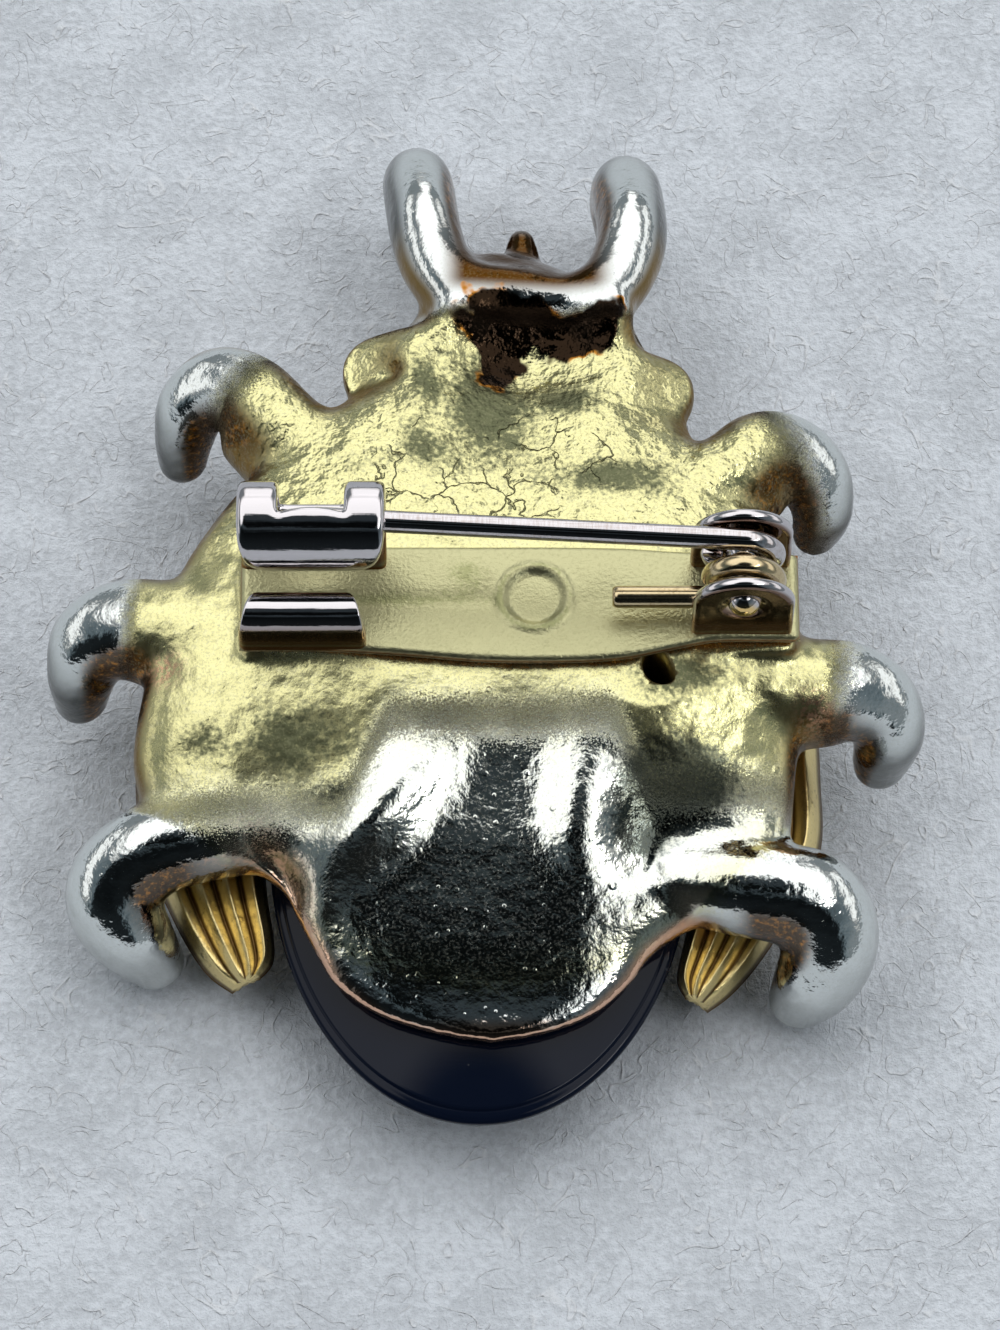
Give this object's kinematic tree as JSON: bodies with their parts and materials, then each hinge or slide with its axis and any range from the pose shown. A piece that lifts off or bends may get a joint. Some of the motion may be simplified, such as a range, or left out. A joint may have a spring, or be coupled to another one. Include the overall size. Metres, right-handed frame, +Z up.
{
  "type": "brooch",
  "caption": "Figural beetle brooch lying face down: cast body with curled legs and horns, oval stone, fluted wings, and a hinged pin that closes in a catch.",
  "frame": {"origin": "middle of the bounding box at the table the brooch lies on", "axes": "+X across the brooch, towards the hinge of the pin; +Y along it, towards the head; +Z up from the table, out of the brooch's back"},
  "size_m": [0.036, 0.044, 0.0154],
  "materials": {
    "cast_gold": "polished gold plating with satin, tarnished patches",
    "wing_gold": "polished, fluted, warm gold plating",
    "stone_black": "glossy opaque glass",
    "plate_metal": "bright stamped sheet, tarnished over the plate",
    "stem_steel": "bright drawn wire",
    "coil_steel": "bright drawn wire, slightly yellowed"
  },
  "bodies": {
    "brooch": {"back_casting": "cast_gold", "wing_left": "wing_gold", "wing_right": "wing_gold", "stone": "stone_black", "pin_plate": "plate_metal", "spring_coil": "coil_steel"},
    "stem": {"pin_stem": "stem_steel"}
  },
  "joints": [
    {"name": "pin_hinge", "type": "hinge", "parent": "brooch", "child": "stem", "pos_m": [0.01034, -0.00188, 0.01305], "axis": [0, 1, 0], "range_deg": [0, 70], "deforming": ["pin_stem"]}
  ]
}
